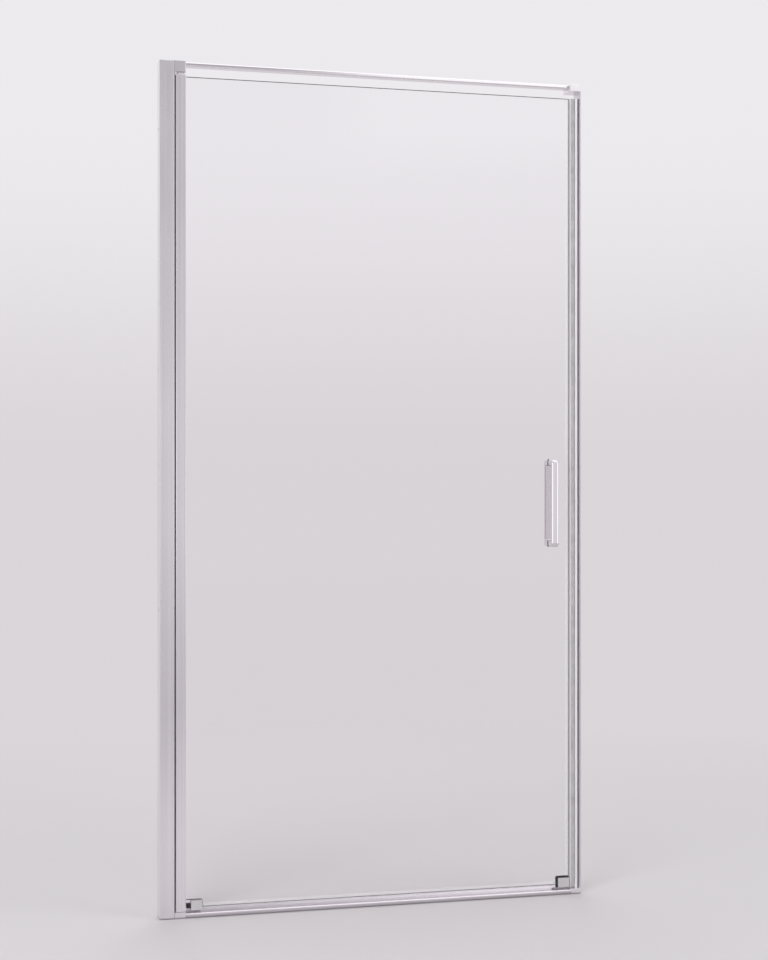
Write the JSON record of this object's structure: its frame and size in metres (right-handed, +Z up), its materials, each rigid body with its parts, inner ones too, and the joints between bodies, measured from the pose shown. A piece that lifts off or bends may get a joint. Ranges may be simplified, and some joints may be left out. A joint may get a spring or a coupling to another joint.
{
  "type": "pivot shower door",
  "caption": "Framed pivot shower door for a recess: glass leaf on a hinge stile between pins, slim rail above, low threshold, bow handle on each face, magnetic strike.",
  "frame": {"origin": "on the floor, half way between the two walls, in the middle plane of the closed glass", "axes": "+X to the right seen from the room, from hinge to strike; +Y into the shower; +Z up"},
  "size_m": [0.99, 0.06, 1.9],
  "materials": {
    "satin_aluminium": "bright satin anodised, faint lengthwise lines",
    "polished_aluminium": "polished anodised",
    "cast_block": "satin silver",
    "grey_plastic": "moulded grey",
    "black_rubber": "matt",
    "white_seal": "satin white",
    "clear_seal": "clear soft plastic",
    "bearing_plastic": "dark bearing plastic",
    "pin_steel": "turned stainless",
    "clear_glass": "clear toughened, green edge",
    "chrome": "bright chrome"
  },
  "bodies": {
    "frame": {"hinge_wall_channel": "satin_aluminium", "hinge_frame_post": "satin_aluminium", "hinge_post_cap": "grey_plastic", "hinge_fin_seal": "black_rubber", "top_pivot_block": "cast_block", "bottom_pivot_block": "cast_block", "top_pivot_pin": "pin_steel", "bottom_pivot_pin": "pin_steel", "thrust_washer": "bearing_plastic", "top_rail": "polished_aluminium", "threshold": "polished_aluminium", "top_strike_bracket": "cast_block", "bottom_strike_block": "cast_block", "strike_jamb": "satin_aluminium", "strike_magnet_strip": "white_seal", "clamp_screws": "pin_steel", "clamp_screw_caps": "white_seal", "pivot_block_screws": "pin_steel"},
    "door_leaf": {"hinge_stile": "satin_aluminium", "stile_top_cap": "grey_plastic", "stile_bottom_cap": "grey_plastic", "stile_cap_screws": "pin_steel", "top_pivot_bush": "bearing_plastic", "bottom_pivot_bush": "bearing_plastic", "glass_panel": "clear_glass", "glazing_gasket": "black_rubber", "door_magnet_seal": "clear_seal", "door_magnet_strip": "white_seal", "drip_seal": "clear_seal", "hinge_corner_block": "grey_plastic", "strike_corner_block": "grey_plastic", "hinge_corner_rubber": "black_rubber", "hinge_corner_plug": "black_rubber", "strike_corner_rubber": "black_rubber", "outer_handle": "chrome", "inner_handle": "chrome", "handle_studs": "pin_steel", "handle_sleeves": "clear_seal", "handle_washers": "black_rubber", "handle_grub_screws": "pin_steel"}
  },
  "joints": [
    {"name": "leaf_swing", "type": "hinge", "parent": "frame", "child": "door_leaf", "pos_m": [-0.4535, -0.014, 0], "axis": [0, 0, -1], "range_deg": [0, 100]}
  ]
}
